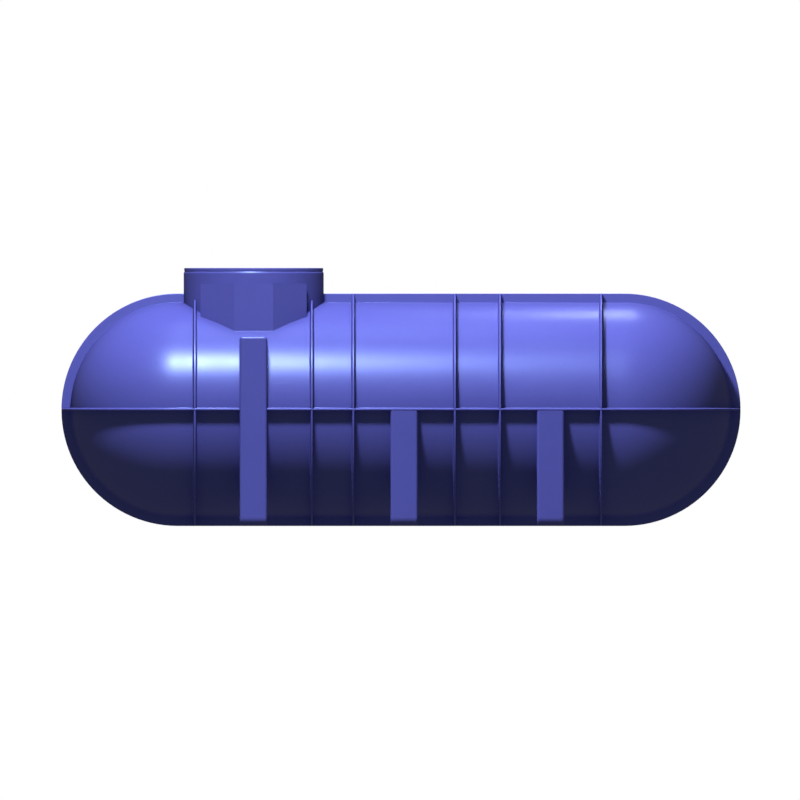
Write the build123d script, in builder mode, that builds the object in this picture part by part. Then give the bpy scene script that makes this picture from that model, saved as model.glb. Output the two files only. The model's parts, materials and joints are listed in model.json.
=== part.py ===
"""Underground water tank: a capsule shell with ring ribs, a waist flange, feet and a manhole neck.

Millimetres, +Z up, tank axis along X. The origin is under the middle of the tank, on the ground
that the feet, the ribs and the keel all rest on. The front is at -Y.
"""

from build123d import *
from math import cos, radians, sin, sqrt
import os

# Barrel and domed ends
shell_radius = 535.0
wall = 10.0
straight_length = 2234.0

# Flanges, ribs and plates stand out to one common radius. Their thickness is that of the outer
# edge, and each side slopes out towards the root by the mould's draft. The outer edges of the
# ribs are bevelled, and those of the plates and the waist flange are rounded
flange_height = 46.0
plate_thickness = 8.4
waist_thickness = 10.0
waist_offset = 2.0
plate_draft = 4.5
waist_draft = 2.0
plate_round = 3.0
waist_round = 4.0
rib_bevel = 1.0

# Spacing of the ring ribs along the straight: what is left over is the bay of the neck
left_end_to_rib = 86.2
left_link_length = 207.7
middle_bay_length = 508.0
right_link_length = 225.6
right_bay_length = 505.6
right_end_to_rib = 116.1

# Manhole neck, just off the middle of its bay
neck_offset = 1.9
neck_radius = 350.0
neck_rise = 158.0
neck_chamfer_width = 5.0
neck_chamfer_height = 9.0

# Lip on the neck, above a seal groove
rim_height = 16.0
rim_inset = 2.5
rim_edge = 2.0

# Three flat faces for pipe connections, front and back of the neck
pad_stand = 25.0
pad_facet_angle = 30.0
pad_drop = 61.5

# Feet, each in the middle of its bay
foot_width = 136.0
foot_depth = 185.0
foot_wall = 9.0
foot_edge = 12.0
foot_toe = 42.0
foot_brow = 16.0
foot_pad_gap = 12.0

# Heights
flange_radius = shell_radius + flange_height
axis_height = flange_radius
waist_middle = axis_height + waist_offset
waist_low = waist_middle - waist_thickness / 2
waist_high = waist_middle + waist_thickness / 2
neck_top = axis_height + shell_radius + neck_rise
pad_top = neck_top - pad_drop
pad_corner_radius = neck_radius + pad_stand
pad_reach = pad_corner_radius + foot_pad_gap
tall_foot_top = axis_height + sqrt(shell_radius**2 - pad_reach**2)

# Stations along the tank
dome_x = straight_length / 2
rib_positions = [dome_x - right_end_to_rib]
for bay_length in (right_bay_length, right_link_length, middle_bay_length, left_link_length):
    rib_positions.insert(0, rib_positions[0] - bay_length)
rib_positions.insert(0, -dome_x + left_end_to_rib)
tall_foot_x = (rib_positions[0] + rib_positions[1]) / 2
neck_x = tall_foot_x + neck_offset
short_foot_positions = [
    (rib_positions[2] + rib_positions[3]) / 2,
    (rib_positions[4] + rib_positions[5]) / 2,
]

# Radii inside the walls, and a length past everything to cut with
bore_radius = shell_radius - wall
neck_bore = neck_radius - wall
past = straight_length + 2 * flange_radius

tank_axis = Axis((0, 0, axis_height), (1, 0, 0))


def capsule(radius):
    """The whole tank's round body at one radius, as a solid to cut with."""
    with BuildPart() as body:
        with BuildSketch(Plane.XY.offset(axis_height)):
            with BuildLine():
                Line((-dome_x - radius, 0), (dome_x + radius, 0))
                CenterArc((dome_x, 0), radius, 0, 90)
                Line((dome_x, radius), (-dome_x, radius))
                CenterArc((-dome_x, 0), radius, 90, 90)
            make_face()
        revolve(axis=tank_axis)
    return body.part


outside = capsule(shell_radius)
inside = capsule(bore_radius)

# The neck's outside, filled, from the tank's axis upwards
with BuildPart() as neck_solid:
    with BuildSketch(Plane.XY.offset(axis_height)):
        with Locations((neck_x, 0)):
            Circle(neck_radius)
    extrude(amount=past)
neck_outside = neck_solid.part


def barrel_section(start, end, upper, neck_hole):
    """One half of the round barrel between two seams, with a hole where the neck stands."""
    with BuildPart() as section:
        with BuildSketch(Plane.YZ.offset(start)):
            with Locations((0, axis_height)):
                Circle(shell_radius)
                Circle(bore_radius, mode=Mode.SUBTRACT)
                half = (Align.CENTER, Align.MIN if upper else Align.MAX)
                Rectangle(past, past, align=half, mode=Mode.INTERSECT)
        extrude(amount=end - start)
        if neck_hole:
            add(neck_outside, mode=Mode.SUBTRACT)
    return section.part


def dome_section(side, seam, upper, front):
    """One quarter of a domed end with the short straight part up to its first rib."""
    centre = side * dome_x
    tip_angle = 0 if side > 0 else 180
    turn = 90 if upper != front else -90
    across = -1 if front else 1
    with BuildPart() as section:
        with BuildSketch(Plane.XY.offset(axis_height)):
            with BuildLine():
                Line((seam, bore_radius), (seam, shell_radius))
                Line((seam, shell_radius), (centre, shell_radius))
                CenterArc((centre, 0), shell_radius, 90, -90 * side)
                Line((centre + side * shell_radius, 0), (centre + side * bore_radius, 0))
                CenterArc((centre, 0), bore_radius, tip_angle, 90 * side)
                Line((centre, bore_radius), (seam, bore_radius))
            make_face()
            if across < 0:
                mirror(about=Plane.XZ, mode=Mode.REPLACE)
        revolve(axis=tank_axis, revolution_arc=turn)
        if upper and side < 0:
            add(neck_outside, mode=Mode.SUBTRACT)
    return section.part


def ring_rib(centre):
    """A rib round the barrel in four quarters, between the waist flange and the upright plates."""
    tip_half = plate_thickness / 2
    root_half = tip_half + plate_draft
    with BuildPart() as rib:
        with BuildSketch(Plane.XY.offset(axis_height)):
            with BuildLine():
                Polyline(
                    (centre - root_half, shell_radius),
                    (centre - tip_half, flange_radius),
                    (centre + tip_half, flange_radius),
                    (centre + root_half, shell_radius),
                    close=True,
                )
            make_face()
            chamfer(vertices().group_by(Axis.Y)[-1], length=rib_bevel)
        revolve(axis=tank_axis)
        with Locations((centre, 0, axis_height)):
            Box(past, plate_thickness, past, mode=Mode.SUBTRACT)
        with Locations((centre, 0, waist_middle)):
            Box(past, past, waist_thickness, mode=Mode.SUBTRACT)
        add([upright_ring, waist_ring, neck_outside], mode=Mode.SUBTRACT)
    return rib.part


def flange_ring(middle, thickness, draft, tip_round):
    """A flange with drafted sides that runs right round the shell at one level."""
    tip_half = thickness / 2
    root_half = tip_half + draft
    with BuildPart() as ring:
        with BuildSketch(Plane.YZ.offset(-dome_x)) as profile:
            with BuildLine():
                Polyline(
                    (shell_radius, middle - root_half),
                    (flange_radius, middle - tip_half),
                    (flange_radius, middle + tip_half),
                    (shell_radius, middle + root_half),
                    close=True,
                )
            make_face()
            fillet(vertices().group_by(Axis.X)[-1], radius=tip_round)
        extrude(amount=straight_length)
        mirror(about=Plane.XZ)
        revolve(profile.sketch, axis=Axis((-dome_x, 0, 0), (0, 0, 1)), revolution_arc=180)
        mirror(ring.part, about=Plane.YZ)
    return ring.part


def ring_piece(ring, low, high, cutters=()):
    """The part of a flange ring that lies between two corners of a box, less what cuts it."""
    with BuildPart() as piece:
        add(ring)
        with Locations(low):
            size = [b - a for a, b in zip(low, high)]
            Box(*size, align=(Align.MIN, Align.MIN, Align.MIN), mode=Mode.INTERSECT)
        for cutter in cutters:
            add(cutter, mode=Mode.SUBTRACT)
    return piece.part


def foot_block(centre, top, inset):
    """A front foot as a full block with a rounded toe, smaller by the inset on every side."""
    front = -flange_radius + inset
    back = -flange_radius + foot_depth - inset
    with BuildPart() as block:
        with BuildSketch(Plane.YZ.offset(centre - foot_width / 2 + inset)):
            with Locations((back, inset)):
                outward = (Align.MAX, Align.MIN)
                Rectangle(back - front, top - 2 * inset, align=outward)
            toe = vertices().group_by(Axis.Y)[0].sort_by(Axis.X)[0]
            fillet(toe, radius=foot_toe - inset)
        extrude(amount=foot_width - 2 * inset)
    return block.part


def front_foot(centre, top, round_brow):
    """A hollow foot: an upright box with a rounded toe, cut to sit against the shell."""
    with BuildPart() as foot:
        add(foot_block(centre, top, 0))
        outline = faces().filter_by(Axis.X).edges()
        toe_line = -flange_radius + foot_toe
        fillet(outline.filter_by(lambda edge: edge.center().Y < toe_line), radius=foot_edge)
        if round_brow:
            brow = faces().sort_by(Axis.Z)[-1].edges().sort_by(Axis.Y)[0]
            fillet(brow, radius=foot_brow)
        add(foot_block(centre, top, foot_wall), mode=Mode.SUBTRACT)
        add(outside, mode=Mode.SUBTRACT)
        if not round_brow:
            add(waist_ring, mode=Mode.SUBTRACT)
    return foot.part


def neck_pads(side):
    """Three flat faces on the neck as one raised block that ends on the shell below."""
    half_facet = pad_facet_angle / 2
    corners = []
    for angle in (-3 * half_facet, -half_facet, half_facet, 3 * half_facet):
        along = pad_corner_radius * sin(radians(angle))
        out = pad_corner_radius * cos(radians(angle))
        corners.append((neck_x + along, side * out))
    with BuildPart() as pads:
        with BuildSketch(Plane.XY.offset(axis_height)):
            with BuildLine():
                Polyline((neck_x, 0), *corners, close=True)
            make_face()
            with Locations((neck_x, 0)):
                Circle(neck_radius, mode=Mode.SUBTRACT)
        extrude(amount=pad_top - axis_height)
        add(outside, mode=Mode.SUBTRACT)
    return pads.part


def write(part, name):
    """Labels a piece and writes it to a file of its own."""
    part.label = name
    export_step(part, f"parts/{name}.step")


os.makedirs("parts", exist_ok=True)

# Shell, in halves between the ribs and in quarters at the domed ends
section_names = ["neck_bay", "left_link", "middle_bay", "right_link", "right_bay"]
for upper in (True, False):
    level = "upper" if upper else "lower"
    for front in (True, False):
        depth = "front" if front else "back"
        left_dome = dome_section(-1, rib_positions[0], upper, front)
        right_dome = dome_section(1, rib_positions[-1], upper, front)
        write(left_dome, f"left_dome_{level}_{depth}")
        write(right_dome, f"right_dome_{level}_{depth}")
    for index, section_name in enumerate(section_names):
        start = rib_positions[index]
        end = rib_positions[index + 1]
        meets_neck = upper and start < neck_x + neck_radius
        piece = barrel_section(start, end, upper, meets_neck)
        write(piece, f"{section_name}_{level}")

# Ribs round the barrel, cut to the flange and the plates that cross them
waist_ring = flange_ring(waist_middle, waist_thickness, waist_draft, waist_round)
upright_ring = flange_ring(axis_height, plate_thickness, plate_draft, plate_round)
upright_ring = upright_ring.rotate(tank_axis, 90)
for index, position in enumerate(rib_positions):
    write(ring_rib(position), f"ring_rib_{index + 1}")

# Ridge and keel plates, on the upright middle plane
plate_boxes = {
    "ridge_plate_left": ((-past, -past, waist_high), (neck_x, past, past)),
    "ridge_plate_right": ((neck_x, -past, waist_high), (past, past, past)),
    "keel_plate": ((-past, -past, -past), (past, past, waist_low)),
}
for name, (low, high) in plate_boxes.items():
    write(ring_piece(upright_ring, low, high, (waist_ring, neck_outside)), name)

# Waist flange, stopped at the sides of the tall feet
foot_left = tall_foot_x - foot_width / 2
foot_right = tall_foot_x + foot_width / 2
waist_boxes = {
    "left": ((-past, -past, 0), (foot_left, past, past)),
    "front": ((foot_right, -past, 0), (dome_x, 0, past)),
    "back": ((foot_right, 0, 0), (dome_x, past, past)),
    "right": ((dome_x, -past, 0), (past, past, past)),
}
for name, (low, high) in waist_boxes.items():
    write(ring_piece(waist_ring, low, high), f"waist_flange_{name}")

# Feet, the same at the back as at the front
feet = {"tall_foot": front_foot(tall_foot_x, tall_foot_top, True)}
for index, position in enumerate(short_foot_positions):
    feet[f"short_foot_{index + 1}"] = front_foot(position, waist_low, False)
for name, foot in feet.items():
    with BuildPart() as back_foot:
        mirror(foot, about=Plane.XZ)
    write(foot, f"{name}_front")
    write(back_foot.part, f"{name}_back")

# Manhole neck, with a chamfer under the seal groove and its lower end flush inside the shell
with BuildPart() as manhole_neck:
    with BuildSketch(Plane.XY.offset(axis_height)):
        with Locations((neck_x, 0)):
            Circle(neck_radius)
            Circle(neck_bore, mode=Mode.SUBTRACT)
    extrude(amount=neck_top - axis_height)
    mouth = edges().filter_by(GeomType.CIRCLE).group_by(Axis.Z)[-1]
    top_face = faces().sort_by(Axis.Z)[-1]
    outer_mouth = mouth.sort_by(SortBy.RADIUS)[-1]
    chamfer(outer_mouth, length=neck_chamfer_width, length2=neck_chamfer_height, reference=top_face)
    add(inside, mode=Mode.SUBTRACT)
write(manhole_neck.part, "manhole_neck")

# Lip above the groove, chamfered outside at its top and bottom
with BuildPart() as neck_rim:
    with BuildSketch(Plane.XY.offset(neck_top)):
        with Locations((neck_x, 0)):
            Circle(neck_radius - rim_inset)
            Circle(neck_bore, mode=Mode.SUBTRACT)
    extrude(amount=rim_height)
    for level_edges in edges().filter_by(GeomType.CIRCLE).group_by(Axis.Z):
        chamfer(level_edges.sort_by(SortBy.RADIUS)[-1], length=rim_edge)
write(neck_rim.part, "neck_rim")

# Flats for pipe connections
write(neck_pads(-1), "neck_pads_front")
write(neck_pads(1), "neck_pads_back")
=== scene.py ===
"""Looks of the underground water tank: moulded plastic, root radii, lamps, floor and camera.

Lengths are in metres in the part's own frame: X along the tank, Z up, the front at -Y.
"""

import json
import logging
import math
from abc import ABC, abstractmethod
from collections.abc import Iterator
from dataclasses import dataclass
from enum import Enum

import bmesh
import bpy
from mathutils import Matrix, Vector


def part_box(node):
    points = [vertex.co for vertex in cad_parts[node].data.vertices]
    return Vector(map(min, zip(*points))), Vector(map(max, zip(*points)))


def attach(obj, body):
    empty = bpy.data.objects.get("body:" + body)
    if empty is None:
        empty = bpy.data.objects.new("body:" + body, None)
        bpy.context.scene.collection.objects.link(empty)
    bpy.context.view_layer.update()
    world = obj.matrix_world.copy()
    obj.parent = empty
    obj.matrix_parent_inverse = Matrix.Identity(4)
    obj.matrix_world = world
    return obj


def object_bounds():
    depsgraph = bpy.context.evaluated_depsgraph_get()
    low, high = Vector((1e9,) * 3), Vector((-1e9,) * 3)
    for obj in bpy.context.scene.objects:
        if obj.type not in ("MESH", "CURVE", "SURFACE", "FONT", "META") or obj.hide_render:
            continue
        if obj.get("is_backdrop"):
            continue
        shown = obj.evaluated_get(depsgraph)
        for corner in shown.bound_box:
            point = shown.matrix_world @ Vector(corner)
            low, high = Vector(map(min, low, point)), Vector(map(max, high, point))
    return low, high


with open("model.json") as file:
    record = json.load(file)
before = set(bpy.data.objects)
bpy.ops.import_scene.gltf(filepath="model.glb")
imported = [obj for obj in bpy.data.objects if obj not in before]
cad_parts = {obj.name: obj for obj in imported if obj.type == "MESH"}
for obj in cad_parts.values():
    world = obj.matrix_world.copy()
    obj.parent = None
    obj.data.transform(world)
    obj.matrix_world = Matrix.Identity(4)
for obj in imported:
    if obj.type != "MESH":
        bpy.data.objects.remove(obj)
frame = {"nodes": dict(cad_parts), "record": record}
CAD_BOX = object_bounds()

LOG = logging.getLogger("water_tank")
ROOT_BODY = "root"

Socket = bpy.types.NodeSocket
Colour = tuple[float, float, float, float]
Triple = tuple[float, float, float]
Pair = tuple[float, float]


class Slot(Enum):
    """The record's material slots."""

    SHELL = "shell_plastic"
    FLANGE = "flange_plastic"
    NECK = "neck_plastic"
    FOOT = "foot_plastic"


class Side(Enum):
    """The front and the back of the tank, by the sign of Y."""

    FRONT = -1
    BACK = 1


def linear(red: int, green: int, blue: int) -> Colour:
    """Turns a screen colour into the linear colour that a shader takes.

    Args:
        red: Red from 0 to 255.
        green: Green from 0 to 255.
        blue: Blue from 0 to 255.

    Returns:
        The linear colour with full alpha.
    """
    knee, slope, offset, power = 0.04045, 12.92, 0.055, 2.4
    shares = (channel / 255 for channel in (red, green, blue))
    values = [
        share / slope if share <= knee else ((share + offset) / (1 + offset)) ** power
        for share in shares
    ]
    return (values[0], values[1], values[2], 1.0)


class NodeGraph:
    """Adds nodes to one node tree and links them."""

    def __init__(self, tree: bpy.types.NodeTree) -> None:
        """Keeps the tree that the nodes go into."""
        self.tree = tree

    def add(
        self, kind: str, values: dict[str | int, object] | None = None, **settings: object
    ) -> bpy.types.Node:
        """Adds one node.

        Args:
            kind: Blender's name for the node's type.
            values: A value, or another node's socket to link, for each named input.
            **settings: Properties of the node itself.

        Returns:
            The new node.
        """
        node = self.tree.nodes.new(kind)
        for name, setting in settings.items():
            setattr(node, name, setting)
        for key, value in (values or {}).items():
            if isinstance(value, Socket):
                self.tree.links.new(value, node.inputs[key])
            else:
                node.inputs[key].default_value = value
        return node

    def math(self, operation: str, *terms: object) -> Socket:
        """Adds a Math node.

        Args:
            operation: The node's operation.
            *terms: Numbers or sockets, in the order of the inputs.

        Returns:
            The result's socket.
        """
        values = dict(enumerate(terms))
        return self.add("ShaderNodeMath", values, operation=operation).outputs[0]

    def vector_sum(self, first: Socket, second: Socket) -> Socket:
        """Adds two vectors."""
        values = {0: first, 1: second}
        return self.add("ShaderNodeVectorMath", values, operation="ADD").outputs[0]

    def scaled(self, vector: Socket, factor: Socket) -> Socket:
        """Scales a vector."""
        values = {0: vector, "Scale": factor}
        return self.add("ShaderNodeVectorMath", values, operation="SCALE").outputs[0]

    def ramp(self, value: Socket, low: float, high: float, **settings: object) -> Socket:
        """Adds a Map Range node that rises from 0 to 1.

        Args:
            value: What is mapped.
            low: The value that gives 0.
            high: The value that gives 1.
            **settings: Properties of the node itself.

        Returns:
            The result's socket.
        """
        values = {"Value": value, "From Min": low, "From Max": high}
        return self.add("ShaderNodeMapRange", values, **settings).outputs[0]

    def mix(self, share: Socket, first: object, second: object) -> Socket:
        """Mixes two colours.

        Args:
            share: The share of the second colour.
            first: The first colour or its socket.
            second: The second colour or its socket.

        Returns:
            The mixed colour's socket.
        """
        values = {0: share, 6: first, 7: second}
        return self.add("ShaderNodeMix", values, data_type="RGBA").outputs[2]

    def mix_shaders(self, share: Socket, first: Socket, second: Socket) -> Socket:
        """Mixes two shaders, with the given share of the second one."""
        return self.add("ShaderNodeMixShader", {0: share, 1: first, 2: second}).outputs[0]


@dataclass(frozen=True)
class MouldedPlastic:
    """Satin polyethylene with mould grain, slow changes of tone and a few handling scuffs."""

    name: str
    slot: Slot
    colour: Colour
    deep_colour: Colour
    sheen_colour: Colour = (0.34, 0.485, 1.0, 1.0)
    refraction: float = 1.79
    specular: float = 1.0
    roughness: float = 0.345
    roughness_spread: float = 0.04
    gloss_patch_size: float = 0.09
    grain_size: float = 0.006
    grain_height: float = 0.00012
    cloud_size: float = 0.55
    mottle_size: float = 0.03
    mottle_share: float = 0.35
    tone_limits: Pair = (0.35, 0.65)
    scuff_size: float = 0.12
    scuff_turn: Triple = (0.3, 0.5, 0.2)
    scuff_squeeze: Triple = (1.0, 16.0, 16.0)
    scuff_limits: Pair = (0.66, 0.76)
    scuff_patch_size: float = 0.35
    scuff_patch_limits: Pair = (0.5, 0.62)
    scuff_colour: Colour = (0.62, 0.64, 0.9, 1.0)
    scuff_strength: float = 0.10
    scuff_dulling: float = 0.15
    scuff_depth: float = 0.3

    def build(self) -> bpy.types.Material:
        """Builds the material from nodes that read Object coordinates.

        Returns:
            The new material.
        """
        material = bpy.data.materials.new(self.name)
        material.use_nodes = True
        graph = NodeGraph(material.node_tree)
        graph.tree.nodes.clear()
        place = graph.add("ShaderNodeTexCoord").outputs["Object"]
        scuffs = self._scuffs(graph, place)
        shader = graph.add(
            "ShaderNodeBsdfPrincipled",
            {
                "Base Color": self._colour(graph, place, scuffs),
                "Roughness": self._roughness(graph, place, scuffs),
                "IOR": self.refraction,
                "Specular IOR Level": self.specular,
                "Specular Tint": self.sheen_colour,
                "Normal": self._grain(graph, place, scuffs),
            },
        )
        graph.add("ShaderNodeOutputMaterial", {"Surface": shader.outputs[0]})
        return material

    def _noise(self, graph: NodeGraph, place: Socket, size: float, detail: float = 2.0) -> Socket:
        """Adds a noise whose features have about the given size.

        Args:
            graph: The material's graph.
            place: The coordinates.
            size: The size of a feature.
            detail: How many finer layers it has.

        Returns:
            The noise's value, around a half.
        """
        values = {"Vector": place, "Scale": 1 / size, "Detail": detail}
        return graph.add("ShaderNodeTexNoise", values).outputs[0]

    def _scuffs(self, graph: NodeGraph, place: Socket) -> Socket:
        """Adds thin pale rubs from handling, in patches.

        Args:
            graph: The material's graph.
            place: The coordinates.

        Returns:
            0 where the skin is clean and up to 1 on a rub.
        """
        turned = graph.add(
            "ShaderNodeMapping",
            {"Vector": place, "Rotation": self.scuff_turn, "Scale": self.scuff_squeeze},
        ).outputs[0]
        lines = self._noise(graph, turned, self.scuff_size)
        patches = self._noise(graph, place, self.scuff_patch_size, detail=1.0)
        thin = graph.ramp(lines, *self.scuff_limits)
        where = graph.ramp(patches, *self.scuff_patch_limits)
        return graph.math("MULTIPLY", thin, where)

    def _colour(self, graph: NodeGraph, place: Socket, scuffs: Socket) -> Socket:
        """Mixes the two tones by slow clouds and fine mottle, and pales the scuffs.

        Args:
            graph: The material's graph.
            place: The coordinates.
            scuffs: The share of rub at each point.

        Returns:
            The colour's socket.
        """
        clouds = self._noise(graph, place, self.cloud_size)
        mottle = self._noise(graph, place, self.mottle_size, detail=3.0)
        slow = graph.math("MULTIPLY", clouds, 1 - self.mottle_share)
        blend = graph.math("MULTIPLY_ADD", mottle, self.mottle_share, slow)
        tone = graph.ramp(blend, *self.tone_limits)
        body = graph.mix(tone, self.colour, self.deep_colour)
        share = graph.math("MULTIPLY", scuffs, self.scuff_strength)
        return graph.mix(share, body, self.scuff_colour)

    def _roughness(self, graph: NodeGraph, place: Socket, scuffs: Socket) -> Socket:
        """Varies the gloss a little, and dulls the scuffs.

        Args:
            graph: The material's graph.
            place: The coordinates.
            scuffs: The share of rub at each point.

        Returns:
            The roughness's socket.
        """
        patches = self._noise(graph, place, self.gloss_patch_size, detail=3.0)
        low = self.roughness - self.roughness_spread
        even = graph.math("MULTIPLY_ADD", patches, 2 * self.roughness_spread, low)
        return graph.math("MULTIPLY_ADD", scuffs, self.scuff_dulling, even)

    def _grain(self, graph: NodeGraph, place: Socket, scuffs: Socket) -> Socket:
        """Raises the mould's fine grain, and sinks the scuffs a hair.

        Args:
            graph: The material's graph.
            place: The coordinates.
            scuffs: The share of rub at each point.

        Returns:
            The bumped normal's socket.
        """
        grain = self._noise(graph, place, self.grain_size)
        sunk = graph.math("MULTIPLY", scuffs, self.scuff_depth)
        height = graph.math("SUBTRACT", grain, sunk)
        values = {"Height": height, "Strength": 1.0, "Distance": self.grain_height}
        return graph.add("ShaderNodeBump", values).outputs[0]


class Finishes:
    """The four plastics, one for each material slot."""

    def __init__(self) -> None:
        """Builds each material once."""
        plastics = (
            MouldedPlastic(
                "shell_moulded", Slot.SHELL, linear(115, 120, 245), linear(111, 116, 239)
            ),
            MouldedPlastic(
                "flange_moulded", Slot.FLANGE, linear(117, 122, 248), linear(113, 118, 242)
            ),
            MouldedPlastic(
                "neck_moulded", Slot.NECK, linear(118, 123, 250), linear(114, 119, 244)
            ),
            MouldedPlastic(
                "foot_moulded", Slot.FOOT, linear(116, 121, 248), linear(112, 117, 242)
            ),
        )
        self.by_slot = {plastic.slot: plastic.build() for plastic in plastics}

    def dress_nodes(self) -> int:
        """Gives every CAD node the material of its slot.

        Returns:
            How many nodes were dressed.
        """
        rows = frame["record"]["subparts"]
        for row in rows:
            node = frame["nodes"][row["node"]]
            material = self.by_slot[Slot(row["material_slot"])]
            for holder in node.material_slots:
                holder.material = material
        return len(rows)


@dataclass(frozen=True)
class CornerPoint:
    """One point of an inside corner, and the ways out of it along both surfaces."""

    place: Vector
    wall: Vector
    stem: Vector


Corner = list[CornerPoint]


@dataclass
class RootRadius:
    """Sweeps the small concave radius of a moulded corner along the corner's line."""

    material: bpy.types.Material
    radius: float
    sink: float = 0.0006
    arc_steps: int = 5
    taper: float = 0.003
    weld: float = 1e-6
    nearly: float = 0.1

    def __post_init__(self) -> None:
        """Builds the node tree once for every corner of a piece."""
        self.tree = self._build_tree()

    def _build_tree(self) -> bpy.types.NodeTree:
        """Builds the Geometry Nodes tree.

        A grid has one row for each point of the line and one column for each corner of the
        section: the arc's own, one behind it, and one that lies on the first. A row whose fade
        is 0 is one point, so that the weld closes each strip.

        Returns:
            The tree, with named inputs.
        """
        tree = bpy.data.node_groups.new("root_radius", "GeometryNodeTree")
        for name, kind in (
            ("Corner Line", "Geometry"),
            ("Radius", "Float"),
            ("Sink", "Float"),
            ("Arc Steps", "Int"),
            ("Material", "Material"),
        ):
            tree.interface.new_socket(name, in_out="INPUT", socket_type=f"NodeSocket{kind}")
        tree.interface.new_socket("Strip", in_out="OUTPUT", socket_type="NodeSocketGeometry")
        graph = NodeGraph(tree)
        given = graph.add("NodeGroupInput").outputs
        line = given["Corner Line"]
        points = graph.add(
            "GeometryNodeAttributeDomainSize", {0: line}, component="MESH"
        ).outputs["Point Count"]
        columns = graph.math("ADD", given["Arc Steps"], 3)
        grid = graph.add(
            "GeometryNodeMeshGrid", {"Vertices X": points, "Vertices Y": columns}
        ).outputs["Mesh"]
        index = graph.add("GeometryNodeInputIndex").outputs[0]
        row = graph.math("FLOOR", graph.math("DIVIDE", graph.math("ADD", index, 0.5), columns))
        column = graph.math("SUBTRACT", index, graph.math("MULTIPLY", row, columns))
        here = self._sample(graph, line, row, graph.add("GeometryNodeInputPosition").outputs[0])
        there = graph.vector_sum(here, self._offset(graph, given, row, column))
        placed = graph.add(
            "GeometryNodeSetPosition", {"Geometry": grid, "Position": there}
        ).outputs[0]
        merged = graph.add(
            "GeometryNodeMergeByDistance", {"Geometry": placed, "Distance": self.weld}
        ).outputs[0]
        smooth = graph.add("GeometryNodeSetShadeSmooth", {0: merged}).outputs[0]
        real = graph.add("GeometryNodeRealizeInstances", {0: smooth}).outputs[0]
        dressed = graph.add(
            "GeometryNodeSetMaterial", {"Geometry": real, "Material": given["Material"]}
        ).outputs[0]
        graph.add("NodeGroupOutput", {"Strip": dressed})
        return tree

    def _offset(
        self,
        graph: NodeGraph,
        given: bpy.types.bpy_prop_collection,
        row: Socket,
        column: Socket,
    ) -> Socket:
        """Finds where a corner of the section lies from the corner line.

        The section's arc is a curve that leaves both surfaces along them. It lies a hair inside
        them, and its corner behind the arc twice as deep.

        Args:
            graph: The tree's graph.
            given: The tree's inputs.
            row: The number of the line's point.
            column: The number of the section's corner.

        Returns:
            The offset's socket.
        """
        line, arc = given["Corner Line"], given["Arc Steps"]
        wall = self._sample(graph, line, row, self._named(graph, "wall", "FLOAT_VECTOR"))
        stem = self._sample(graph, line, row, self._named(graph, "stem", "FLOAT_VECTOR"))
        fade = self._sample(graph, line, row, self._named(graph, "fade", "FLOAT"), "FLOAT")
        behind = graph.math("COMPARE", column, graph.math("ADD", arc, 1), self.nearly)
        closing = graph.math("COMPARE", column, graph.math("ADD", arc, 2), self.nearly)
        on_arc = graph.math("SUBTRACT", 1, graph.math("ADD", behind, closing))
        share = graph.math("MULTIPLY", graph.math("DIVIDE", column, arc), on_arc)
        rest = graph.math("SUBTRACT", 1, share)
        faded = graph.math("MULTIPLY", given["Radius"], fade)
        reach = graph.math("MULTIPLY", faded, graph.math("SUBTRACT", 1, behind))
        sunk = graph.math("MULTIPLY", graph.math("MULTIPLY", given["Sink"], -1), fade)
        deep = graph.math("MULTIPLY", sunk, graph.math("ADD", 1, behind))
        along_wall = graph.math("MULTIPLY", reach, graph.math("MULTIPLY", rest, rest))
        up_stem = graph.math("MULTIPLY", reach, graph.math("MULTIPLY", share, share))
        return graph.vector_sum(
            graph.scaled(wall, graph.math("ADD", along_wall, deep)),
            graph.scaled(stem, graph.math("ADD", up_stem, deep)),
        )

    def _named(self, graph: NodeGraph, name: str, kind: str) -> Socket:
        """Reads a named attribute of the corner line."""
        node = graph.add("GeometryNodeInputNamedAttribute", {"Name": name}, data_type=kind)
        return node.outputs["Attribute"]

    def _sample(
        self,
        graph: NodeGraph,
        line: Socket,
        row: Socket,
        value: Socket,
        kind: str = "FLOAT_VECTOR",
    ) -> Socket:
        """Reads a value at one point of the corner line.

        Args:
            graph: The tree's graph.
            line: The corner line.
            row: The point's number.
            value: What is read there.
            kind: The value's data type.

        Returns:
            The value's socket.
        """
        return graph.add(
            "GeometryNodeSampleIndex",
            {"Geometry": line, "Value": value, "Index": row},
            data_type=kind,
            domain="POINT",
        ).outputs["Value"]

    def sweep(self, name: str, slot: Slot, corners: list[Corner]) -> int:
        """Makes one piece from several corner lines.

        Args:
            name: The piece's name.
            slot: Not used; the piece takes the sweeper's material.
            corners: The corner lines, each a row of points.

        Returns:
            How many triangles the piece has.
        """
        rows = [row for corner in corners for row in self._tapered(corner)]
        mesh = bpy.data.meshes.new(name + "_line")
        edges = [(number, number + 1) for number in range(len(rows) - 1)]
        mesh.from_pydata([point.place for point, _ in rows], edges, [])
        for key in ("wall", "stem"):
            layer = mesh.attributes.new(key, "FLOAT_VECTOR", "POINT")
            flat = [part for point, _ in rows for part in getattr(point, key)]
            layer.data.foreach_set("vector", flat)
        layer = mesh.attributes.new("fade", "FLOAT", "POINT")
        layer.data.foreach_set("value", [fade for _, fade in rows])
        source = bpy.data.objects.new(name + "_line", mesh)
        bpy.context.scene.collection.objects.link(source)
        piece = bpy.data.objects.new(name, self._bake(source))
        bpy.data.objects.remove(source)
        bpy.context.scene.collection.objects.link(piece)
        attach(piece, ROOT_BODY)
        return sum(len(face.vertices) - 2 for face in piece.data.polygons)

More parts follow.
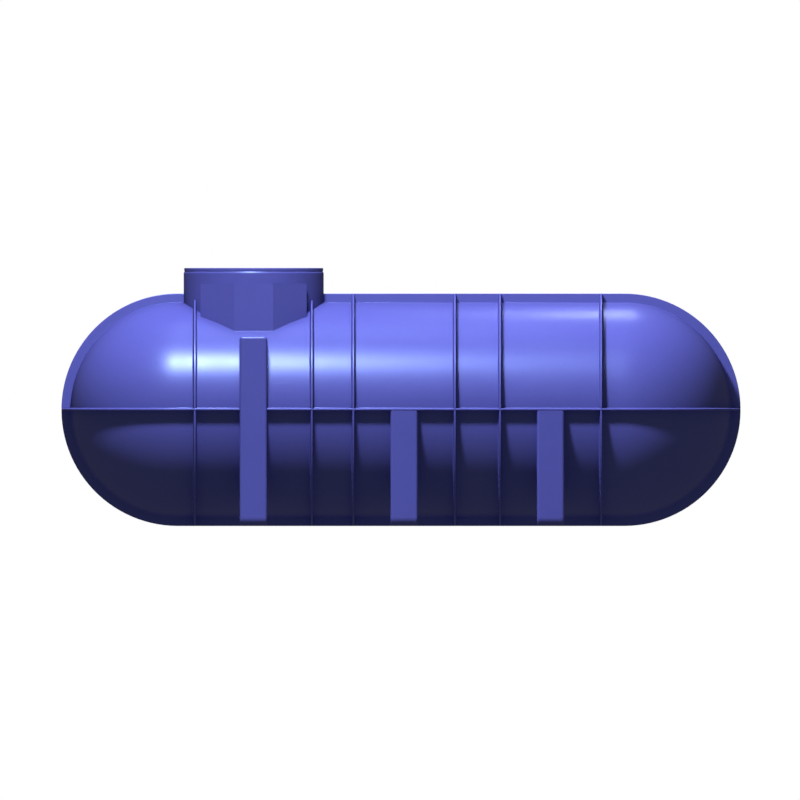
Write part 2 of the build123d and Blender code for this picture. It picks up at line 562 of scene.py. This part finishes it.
    def _tapered(self, corner: Corner) -> Iterator[tuple[CornerPoint, float]]:
        """Closes a corner line to a point at each end.

        Args:
            corner: The line's points.

        Returns:
            Each point with its fade, from 0 at an end to 1 along the line.
        """
        first, last = corner[0], corner[-1]
        yield first, 0.0
        yield self._between(first, corner[1]), 1.0
        for point in corner[1:-1]:
            yield point, 1.0
        yield self._between(last, corner[-2]), 1.0
        yield last, 0.0

    def _between(self, end: CornerPoint, inner: CornerPoint) -> CornerPoint:
        """Finds the point at the taper's length from an end of a line."""
        way = (inner.place - end.place).normalized()
        return CornerPoint(end.place + way * self.taper, end.wall, end.stem)

    def _bake(self, source: bpy.types.Object) -> bpy.types.Mesh:
        """Runs the tree on a corner line and keeps a plain closed mesh.

        Args:
            source: The object that holds the corner line.

        Returns:
            The strip's mesh.
        """
        modifier = source.modifiers.new("root_radius", "NODES")
        modifier.node_group = self.tree
        given = {
            "Radius": self.radius,
            "Sink": self.sink,
            "Arc Steps": self.arc_steps,
            "Material": self.material,
        }
        for item in self.tree.interface.items_tree:
            if item.in_out == "INPUT" and item.name in given:
                modifier[item.identifier] = given[item.name]
        graph = bpy.context.evaluated_depsgraph_get()
        baked = bpy.data.meshes.new_from_object(source.evaluated_get(graph), depsgraph=graph)
        source.modifiers.remove(modifier)
        work = bmesh.new()
        work.from_mesh(baked)
        loose = [edge for edge in work.edges if not edge.link_faces]
        bmesh.ops.delete(work, geom=loose, context="EDGES")
        bmesh.ops.recalc_face_normals(work, faces=work.faces)
        work.to_mesh(baked)
        work.free()
        baked.materials.clear()
        baked.materials.append(self.material)
        return baked


@dataclass
class Barrel:
    """The round shell, and the sizes that the corner lines on it share.

    The ribs are pairs of places along the tank, those of a rib's left and right faces. The lean
    is how far a rib's or a plate's face goes back for each unit of its height.
    """

    radius: float
    axis_height: float
    dome_x: float
    waist_low: float
    waist_high: float
    plate_half: float
    neck_x: float
    neck_radius: float
    ribs: list[Pair]
    lean: float = 0.098
    arc_step: float = math.radians(3.0)
    straight_step: float = 0.25

    def height(self, across: float, upper: bool) -> float:
        """Gives the height of the shell's skin at a distance from its middle plane."""
        rise = math.sqrt(self.radius**2 - across**2)
        return self.axis_height + (rise if upper else -rise)

    def level(self, upper: bool) -> float:
        """Gives the height of the waist flange's upper or lower face."""
        return self.waist_high if upper else self.waist_low

    def reach(self, level: float) -> float:
        """Gives how far the shell's skin stands out at a height."""
        return math.sqrt(self.radius**2 - (level - self.axis_height) ** 2)

    def rise_angle(self, level: float) -> float:
        """Gives the angle above the horizontal, from the axis, of the skin at a height."""
        return math.asin((level - self.axis_height) / self.radius)

    def hoop_angle(self, across: float, height: float) -> float:
        """Gives the angle above the -Y direction of a point on the hoop."""
        return math.atan2(height - self.axis_height, -across)

    def outward(self, across: float, height: float) -> Vector:
        """Gives the skin's outward direction on the straight part."""
        return Vector((0, across, height - self.axis_height)).normalized()

    def steps(self, start: float, end: float, step: float) -> list[float]:
        """Divides a range evenly.

        Args:
            start: The first value.
            end: The last value.
            step: The largest step between two values.

        Returns:
            The values, both ends included.
        """
        count = max(2, math.ceil(abs(end - start) / step))
        return [start + (end - start) * number / count for number in range(count + 1)]

    def straight(self, start: float, end: float) -> list[float]:
        """Divides a straight run along the tank."""
        return self.steps(start, end, self.straight_step)

    def hoop(
        self, along: float, facing: int, start: float, end: float, lean: float = 0.0
    ) -> Corner:
        """Follows the foot of a face that stands on the shell across its length.

        Args:
            along: The face's place along the tank.
            facing: 1 where the face looks along +X, or -1.
            start: The first angle above the -Y direction, in radians.
            end: The last angle.
            lean: How far the face goes back for each unit of its height.

        Returns:
            The corner line.
        """
        wall = Vector((facing, 0, 0))
        line = []
        for angle in self.steps(start, end, self.arc_step):
            out = Vector((0, -math.cos(angle), math.sin(angle)))
            place = Vector((along, 0, self.axis_height)) + out * self.radius
            line.append(CornerPoint(place, wall, (out - wall * lean).normalized()))
        return line


class Rooted(ABC):
    """Something that stands on the shell, with a small radius at its foot."""

    name: str
    slot: Slot
    root_radius: float

    @abstractmethod
    def corners(self) -> list[Corner]:
        """Lists the corner lines that the radius follows."""


@dataclass
class RingRibs(Rooted):
    """The six ribs round the barrel."""

    barrel: Barrel
    name: str = "root_radii_ribs"
    slot: Slot = Slot.FLANGE
    root_radius: float = 0.008

    def corners(self) -> list[Corner]:
        """Lists the corner lines at the foot of both faces of every rib."""
        lines = []
        for left, right in self.barrel.ribs:
            for along, facing in ((left, -1), (right, 1)):
                lines.extend(self._face(along, facing))
        return lines

    def _face(self, along: float, facing: int) -> Iterator[Corner]:
        """Lists the four corner lines of one face of a rib.

        Args:
            along: The face's place along the tank.
            facing: 1 where the face looks along +X, or -1.

        Returns:
            The lines of the quarters.
        """
        barrel = self.barrel
        offset = abs(along - barrel.neck_x)
        top = barrel.plate_half
        if offset < barrel.neck_radius:
            top = max(top, math.sqrt(barrel.neck_radius**2 - offset**2))
        for side in Side:
            for upper in (True, False):
                inner = top if upper else barrel.plate_half
                level = barrel.level(upper)
                start = barrel.hoop_angle(side.value * barrel.reach(level), level)
                end = barrel.hoop_angle(side.value * inner, barrel.height(inner, upper))
                if side is Side.BACK and not upper:
                    start, end = (angle % (2 * math.pi) for angle in (start, end))
                yield barrel.hoop(along, facing, start, end, barrel.lean)


@dataclass
class UprightPlates(Rooted):
    """The ridge over the barrel and the keel under it."""

    barrel: Barrel
    name: str = "root_radii_plates"
    slot: Slot = Slot.FLANGE
    root_radius: float = 0.007

    def corners(self) -> list[Corner]:
        """Lists the corner lines at the foot of both faces of the plates."""
        dome = self.barrel.dome_x
        ribs = self.barrel.ribs
        left = self.barrel.neck_x - self.barrel.neck_radius
        right = self.barrel.neck_x + self.barrel.neck_radius
        cuts = [right] + [place for rib in ribs if rib[0] > right for place in rib]
        bays = [(start, end) for (_, start), (end, _) in zip(ribs, ribs[1:])]
        runs = [self._over(-dome, left, True)]
        runs += [self._flat(start, end, True) for start, end in zip(cuts[::2], cuts[1::2])]
        runs.append(self._over(dome, cuts[-1], True))
        runs += [self._flat(start, end, False) for start, end in bays]
        runs.append(self._over(-dome, ribs[0][0], False))
        runs.append(self._over(dome, ribs[-1][1], False))
        return [
            self._line(side.value * self.barrel.plate_half, run) for side in Side for run in runs
        ]

    def _flat(self, start: float, end: float, upper: bool) -> list[Pair]:
        """Follows a straight run between two ribs, as pairs of place and angle."""
        angle = math.pi / 2 if upper else -math.pi / 2
        return [(place, angle) for place in self.barrel.straight(start, end)]

    def _over(self, dome: float, stop: float, upper: bool) -> list[Pair]:
        """Follows a plate from its last break round a domed end to the waist flange.

        Args:
            dome: The place of the dome's centre.
            stop: The place of the last break.
            upper: True for the ridge, False for the keel.

        Returns:
            Pairs of place and angle.
        """
        start = math.pi / 2 if upper else -math.pi / 2
        end = self.barrel.rise_angle(self.barrel.level(upper))
        turns = self.barrel.steps(start, end, self.barrel.arc_step)[1:]
        bend = [(dome, turn if dome > 0 else math.pi - turn) for turn in turns]
        return self._flat(stop, dome, upper) + bend

    def _line(self, across: float, run: list[Pair]) -> Corner:
        """Turns a run into a corner line.

        Args:
            across: The plate's face, by its Y.
            run: Places along the tank, each with an angle above the +X direction.

        Returns:
            The corner line.
        """
        reach = math.sqrt(self.barrel.radius**2 - across**2)
        wall = Vector((0, math.copysign(1, across), 0))
        line = []
        for along, angle in run:
            out = Vector((math.cos(angle), 0, math.sin(angle)))
            place = Vector((along, across, self.barrel.axis_height)) + out * reach
            line.append(CornerPoint(place, wall, (out - wall * self.barrel.lean).normalized()))
        return line


@dataclass
class WaistFlange(Rooted):
    """The flange round the tank at mid height, which the feet break as the ribs do."""

    barrel: Barrel
    tall_foot: Pair
    short_feet: list[Pair]
    name: str = "root_radii_waist"
    slot: Slot = Slot.FLANGE
    root_radius: float = 0.005

    def corners(self) -> list[Corner]:
        """Lists the corner lines over and under the flange."""
        lines = []
        for upper in (True, False):
            level = self.barrel.level(upper)
            lift = Vector((0, 0, 1 if upper else -1))
            breaks = self.barrel.ribs + [self.tall_foot]
            if not upper:
                breaks += self.short_feet
            breaks.sort()
            for side in Side:
                for (_, start), (end, _) in zip(breaks, breaks[1:]):
                    lines.append(self._straight(side, start, end, level, lift))
                for way, stop in ((-1, breaks[0][0]), (1, breaks[-1][1])):
                    lines.append(self._end(side, way, stop, level, lift))
        return lines

    def _straight(
        self, side: Side, start: float, end: float, level: float, lift: Vector
    ) -> Corner:
        """Follows the flange along the straight part.

        Args:
            side: The front or the back.
            start: The first place along the tank.
            end: The last place.
            level: The flange's face.
            lift: The way up or down the shell.

        Returns:
            The corner line.
        """
        across = side.value * self.barrel.reach(level)
        out = Vector((0, side.value, 0))
        return [
            CornerPoint(Vector((along, across, level)), lift, out)
            for along in self.barrel.straight(start, end)
        ]

    def _end(self, side: Side, way: int, stop: float, level: float, lift: Vector) -> Corner:
        """Follows the flange round a quarter of a domed end, to the upright plate.

        Args:
            side: The front or the back.
            way: 1 for the right end, or -1.
            stop: The face of the last rib.
            level: The flange's face.
            lift: The way up or down the shell.

        Returns:
            The corner line.
        """
        dome = way * self.barrel.dome_x
        reach = self.barrel.reach(level)
        line = self._straight(side, stop, dome, level, lift)
        last = math.pi / 2 - math.asin(self.barrel.plate_half / reach)
        for angle in self.barrel.steps(0, last, self.barrel.arc_step)[1:]:
            out = Vector((way * math.sin(angle), side.value * math.cos(angle), 0))
            line.append(CornerPoint(Vector((dome, 0, level)) + out * reach, lift, out))
        return line


@dataclass
class Feet(Rooted):
    """The tall feet under the neck and the short feet under the waist flange."""

    barrel: Barrel
    brow: float = 0.016
    valley_step: float = 0.002
    feet: tuple[str, ...] = ("tall_foot", "short_foot_1", "short_foot_2")
    name: str = "root_radii_feet"
    slot: Slot = Slot.FOOT
    root_radius: float = 0.006

    def corners(self) -> list[Corner]:
        """Lists the corner lines where the feet meet the shell."""
        lines = []
        for name in self.feet:
            for side, word in ((Side.FRONT, "front"), (Side.BACK, "back")):
                low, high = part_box(f"{name}_{word}")
                inner = high.y if side is Side.FRONT else low.y
                lines.extend(self._sides(low, high, inner, side))
                if high.z > self.barrel.waist_high:
                    lines.append(self._valley(low, high, inner, side))
        return lines

    def _sides(self, low: Vector, high: Vector, inner: float, side: Side) -> Iterator[Corner]:
        """Lists the corner lines of a foot's two sides.

        Args:
            low: The lowest corner of the foot's box.
            high: The highest corner.
            inner: The foot's inner face, by its Y.
            side: The front or the back.

        Returns:
            The lines, broken where the waist flange ends on the foot.
        """
        spans = [(self.barrel.waist_low, self.barrel.height(inner, False))]
        if high.z > self.barrel.waist_high:
            spans.append((high.z - self.brow, self.barrel.waist_high))
        for along, facing in ((low.x, -1), (high.x, 1)):
            for span in spans:
                angles = [self.barrel.rise_angle(level) for level in span]
                if side is Side.BACK:
                    angles = [math.pi - angle for angle in angles]
                yield self.barrel.hoop(along, facing, *angles)

    def _valley(self, low: Vector, high: Vector, inner: float, side: Side) -> Corner:
        """Fills the valley between the back of a tall foot's top and the shell.

        The ways out of the corner are as long as the valley is deep, and get shorter where the
        foot's rounded edges lower its back.

        Args:
            low: The lowest corner of the foot's box.
            high: The highest corner.
            inner: The foot's inner face, by its Y.
            side: The front or the back.

        Returns:
            The corner line.
        """
        level = self.barrel.height(inner, True)
        out = self.barrel.outward(inner, level)
        slope = Vector((0, -side.value * out.z, abs(out.y)))
        step = self.valley_step
        line = []
        for along in self.barrel.steps(low.x + step, high.x - step, step):
            edge = min(along - low.x, high.x - along, self.brow)
            drop = self.brow - math.sqrt(self.brow**2 - (self.brow - edge) ** 2)
            rise = (high.z - level - drop) / self.root_radius
            if rise > 0:
                place = Vector((along, inner, level))
                line.append(CornerPoint(place, slope * (rise / slope.z), Vector((0, 0, rise))))
        return line


@dataclass
class ManholeNeck(Rooted):
    """The round neck, with its flats for pipes, where it stands on the shell."""

    barrel: Barrel
    turn_step: float = math.radians(1.0)
    flats: int = 3
    flat_turn: float = math.radians(30.0)
    flat_corner: float = 0.375
    flat_step: float = 0.1
    fewest_points: int = 3
    name: str = "root_radii_neck"
    slot: Slot = Slot.NECK
    root_radius: float = 0.003

    def corners(self) -> list[Corner]:
        """Lists the corner lines round the neck and along the flats."""
        covered = self.flats * self.flat_turn / 2
        lines = []
        for side in Side:
            for way in (-1, 1):
                run = [
                    self._on_neck(angle, side, way)
                    for angle in self.barrel.steps(covered, math.pi / 2, self.turn_step)
                ]
                lines.extend(self._broken(run))
            for number in range(self.flats):
                turn = (number - self.flats / 2) * self.flat_turn
                lines.append(self._flat(turn, side))
        return lines

    def _corner(self, place: Vector, out: Vector) -> CornerPoint:
        """Finds the ways along the shell and up the neck at one point of their meeting line.

        Args:
            place: The point, whose height is that of the skin after this call.
            out: The neck's outward direction there.

        Returns:
            The corner point.
        """
        place.z = self.barrel.height(place.y, True)
        skin = self.barrel.outward(place.y, place.z)
        line = out.cross(skin).normalized()
        wall = line.cross(skin)
        stem = line.cross(out)
        if wall.dot(out) < 0:
            wall = -wall
        if stem.z < 0:
            stem = -stem
        return CornerPoint(place, wall, stem)

    def _on_neck(self, angle: float, side: Side, way: int) -> CornerPoint:
        """Finds a corner point on the round neck, by its angle from the front or the back."""
        out = Vector((way * math.sin(angle), side.value * math.cos(angle), 0))
        return self._corner(
            Vector((self.barrel.neck_x, 0, 0)) + out * self.barrel.neck_radius, out
        )

    def _broken(self, run: Corner) -> Iterator[Corner]:
        """Splits a run where a rib or a ridge plate meets the neck.

        Args:
            run: The points of a quarter of the neck.

        Returns:
            The parts that are long enough to sweep.
        """
        part: Corner = []
        for point in run:
            hit = abs(point.place.y) < self.barrel.plate_half or any(
                left < point.place.x < right for left, right in self.barrel.ribs
            )
            if not hit:
                part.append(point)
                continue
            if len(part) >= self.fewest_points:
                yield part
            part = []
        if len(part) >= self.fewest_points:
            yield part

    def _flat(self, turn: float, side: Side) -> Corner:
        """Follows the foot of one flat, from the corner at the given angle to the next.

        Args:
            turn: The first corner's angle from the front or the back.
            side: The front or the back.

        Returns:
            The corner line.
        """
        ends = [
            Vector((math.sin(angle), side.value * math.cos(angle), 0)) * self.flat_corner
            for angle in (turn, turn + self.flat_turn)
        ]
        out = (ends[0] + ends[1]).normalized()
        centre = Vector((self.barrel.neck_x, 0, 0))
        return [
            self._corner(centre + ends[0].lerp(ends[1], share), out)
            for share in self.barrel.steps(0.0, 1.0, self.flat_step)
        ]


class Tank:
    """The whole tank: its finishes, and the small radii at the foot of all that stands on it."""

    def __init__(self, finishes: Finishes) -> None:
        """Reads the sizes from the frame and sets up the sub-assemblies."""
        self.finishes = finishes
        neck_low, neck_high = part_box("manhole_neck")
        keel_low, keel_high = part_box("keel_plate")
        waist_low, waist_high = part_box("waist_flange_front")
        dome_low, dome_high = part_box("left_dome_lower_front")
        ribs = [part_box(f"ring_rib_{number}") for number in range(1, 7)]
        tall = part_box("tall_foot_front")
        short = [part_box(f"short_foot_{number}_front") for number in (1, 2)]
        barrel = Barrel(
            radius=-dome_low.y,
            axis_height=dome_high.z,
            dome_x=-dome_low.x + dome_low.y,
            waist_low=waist_low.z,
            waist_high=waist_high.z,
            plate_half=(keel_high.y - keel_low.y) / 2,
            neck_x=(neck_low.x + neck_high.x) / 2,
            neck_radius=(neck_high.x - neck_low.x) / 2,
            ribs=[(low.x, high.x) for low, high in ribs],
        )
        self.groups: tuple[Rooted, ...] = (
            RingRibs(barrel),
            UprightPlates(barrel),
            WaistFlange(
                barrel,
                tall_foot=(tall[0].x, tall[1].x),
                short_feet=[(low.x, high.x) for low, high in short],
            ),
            Feet(barrel),
            ManholeNeck(barrel),
        )

    def dress(self) -> None:
        """Gives the nodes their finishes and adds the root radii."""
        LOG.info("dressed %d nodes", self.finishes.dress_nodes())
        for group in self.groups:
            sweeper = RootRadius(self.finishes.by_slot[group.slot], group.root_radius)
            triangles = sweeper.sweep(group.name, group.slot, group.corners())
            LOG.info("made %s with %d triangles", group.name, triangles)


@dataclass(frozen=True)
class StudioLamp:
    """A lamp whose light is equally strong at any distance.

    It shines where the gloss shows it, and lights where it adds to the plain light.
    """

    name: str
    place: Triple
    level: float
    size: float
    shines: bool = True
    lights: bool = True

    def build(self) -> None:
        """Builds the lamp."""
        lamp = bpy.data.lights.new(self.name, "POINT")
        lamp.energy = self.level * 4 * math.pi**2
        lamp.shadow_soft_size = self.size
        lamp.cycles.max_bounces = 0
        lamp.use_nodes = True
        graph = NodeGraph(lamp.node_tree)
        graph.tree.nodes.clear()
        falloff = graph.add("ShaderNodeLightFalloff", {"Strength": 1.0})
        glow = graph.add("ShaderNodeEmission", {"Strength": falloff.outputs["Constant"]})
        graph.add("ShaderNodeOutputLight", {0: glow.outputs[0]})
        holder = bpy.data.objects.new(self.name, lamp)
        holder.location = self.place
        holder.visible_glossy = self.shines
        holder.visible_diffuse = self.lights
        bpy.context.scene.collection.objects.link(holder)


@dataclass(frozen=True)
class Studio:
    """The white surroundings, the pale floor, the lamps and the camera.

    The shade is what the surroundings cast as light, and the gloss is what they show in it.
    """

    shade: Colour = (0.096, 0.088, 0.067, 1.0)
    gloss: Colour = (0.04, 0.04, 0.04, 1.0)
    white: Colour = (1.0, 1.0, 1.0, 1.0)
    floor_colour: Colour = (0.8, 0.8, 0.8, 1.0)
    floor_radius: float = 30.0
    floor_sides: int = 64
    floor_drop: float = 0.0005
    fade_start: float = 2.2
    fade_end: float = 4.8
    view_width: float = 4.0
    view_centre: Pair = (-0.005, 0.63)
    view_distance: float = 10.0
    lamps: tuple[StudioLamp, ...] = (
        StudioLamp("key_lamp", (-1.20, -3.50, 4.83), 0.70, 0.41),
        StudioLamp("top_lamp", (-0.6, 0.0, 6.9), 0.53, 1.2, shines=False),
        StudioLamp("back_lamp", (1.2, 3.06, 5.8), 0.085, 0.4),
        StudioLamp("sheen_lamp", (0.05, -3.50, 4.83), 0.047, 0.42, lights=False),
    )

    def build(self) -> None:
        """Builds the surroundings, the floor, the lamps and the camera."""
        self._surround()
        self._floor()
        for lamp in self.lamps:
            lamp.build()
            LOG.info("lit %s", lamp.name)
        self._camera()
        bpy.context.scene.view_settings.view_transform = "Standard"

    def _shown(self, graph: NodeGraph, shader: Socket) -> Socket:
        """Shows a shader to the eye, also through glass, and a dim tone to all other rays.

        Args:
            graph: The material's or the world's graph.
            shader: What the camera sees.

        Returns:
            The mixed shader's socket.
        """
        path = graph.add("ShaderNodeLightPath").outputs
        seen = graph.math("MAXIMUM", path["Is Camera Ray"], path["Is Transmission Ray"])
        tone = graph.mix(path["Is Glossy Ray"], self.shade, self.gloss)
        dim = graph.add("ShaderNodeEmission", {"Color": tone, "Strength": 1.0}).outputs[0]
        return graph.mix_shaders(seen, dim, shader)

    def _surround(self) -> None:
        """Makes the world white to the eye and dim as a light."""
        world = bpy.data.worlds.new("studio_world")
        bpy.context.scene.world = world
        world.use_nodes = True
        graph = NodeGraph(world.node_tree)
        graph.tree.nodes.clear()
        bright = graph.add("ShaderNodeBackground", {"Color": self.white, "Strength": 1.0})
        graph.add("ShaderNodeOutputWorld", {"Surface": self._shown(graph, bright.outputs[0])})

    def _floor(self) -> None:
        """Lays a pale floor that takes the tank's shadow and turns white far away."""
        mesh = bpy.data.meshes.new("studio_floor")
        work = bmesh.new()
        bmesh.ops.create_circle(
            work, cap_ends=True, segments=self.floor_sides, radius=self.floor_radius
        )
        bmesh.ops.translate(work, verts=work.verts, vec=(0, 0, -self.floor_drop))
        work.to_mesh(mesh)
        work.free()
        mesh.materials.append(self._floor_material())
        floor = bpy.data.objects.new("studio_floor", mesh)
        bpy.context.scene.collection.objects.link(floor)
        floor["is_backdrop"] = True

    def _floor_material(self) -> bpy.types.Material:
        """Builds the floor's material.

        Returns:
            The new material.
        """
        material = bpy.data.materials.new("studio_floor")
        material.use_nodes = True
        graph = NodeGraph(material.node_tree)
        graph.tree.nodes.clear()
        place = graph.add("ShaderNodeTexCoord").outputs["Object"]
        length = graph.add("ShaderNodeVectorMath", {0: place}, operation="LENGTH")
        far = graph.ramp(
            length.outputs["Value"],
            self.fade_start,
            self.fade_end,
            interpolation_type="SMOOTHSTEP",
        )
        near = graph.add("ShaderNodeBsdfDiffuse", {"Color": self.floor_colour}).outputs[0]
        white = graph.add("ShaderNodeEmission", {"Color": self.white, "Strength": 1.0}).outputs[0]
        seen = graph.mix_shaders(far, near, white)
        graph.add("ShaderNodeOutputMaterial", {"Surface": self._shown(graph, seen)})
        return material

    def _camera(self) -> None:
        """Sets a level camera without perspective square on the tank's front."""
        lens = bpy.data.cameras.new("camera")
        lens.type = "ORTHO"
        lens.ortho_scale = self.view_width
        camera = bpy.data.objects.new("camera", lens)
        across, height = self.view_centre
        camera.location = (across, -self.view_distance, height)
        camera.rotation_euler = (math.pi / 2, 0, 0)
        bpy.context.scene.collection.objects.link(camera)
        bpy.context.scene.camera = camera


def write_sizes() -> None:
    """Turns the CAD box and the dressed tank's box into plain lists, and keeps neither."""
    boxes = {"cad": CAD_BOX, "visual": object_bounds()}
    {name: [list(corner) for corner in box] for name, box in boxes.items()}


def main() -> None:
    """Builds the tank's looks and its studio in order."""
    logging.basicConfig(level=logging.INFO, format="%(message)s")
    Tank(Finishes()).dress()
    Studio().build()
    write_sizes()


if __name__ == "__main__":
    main()
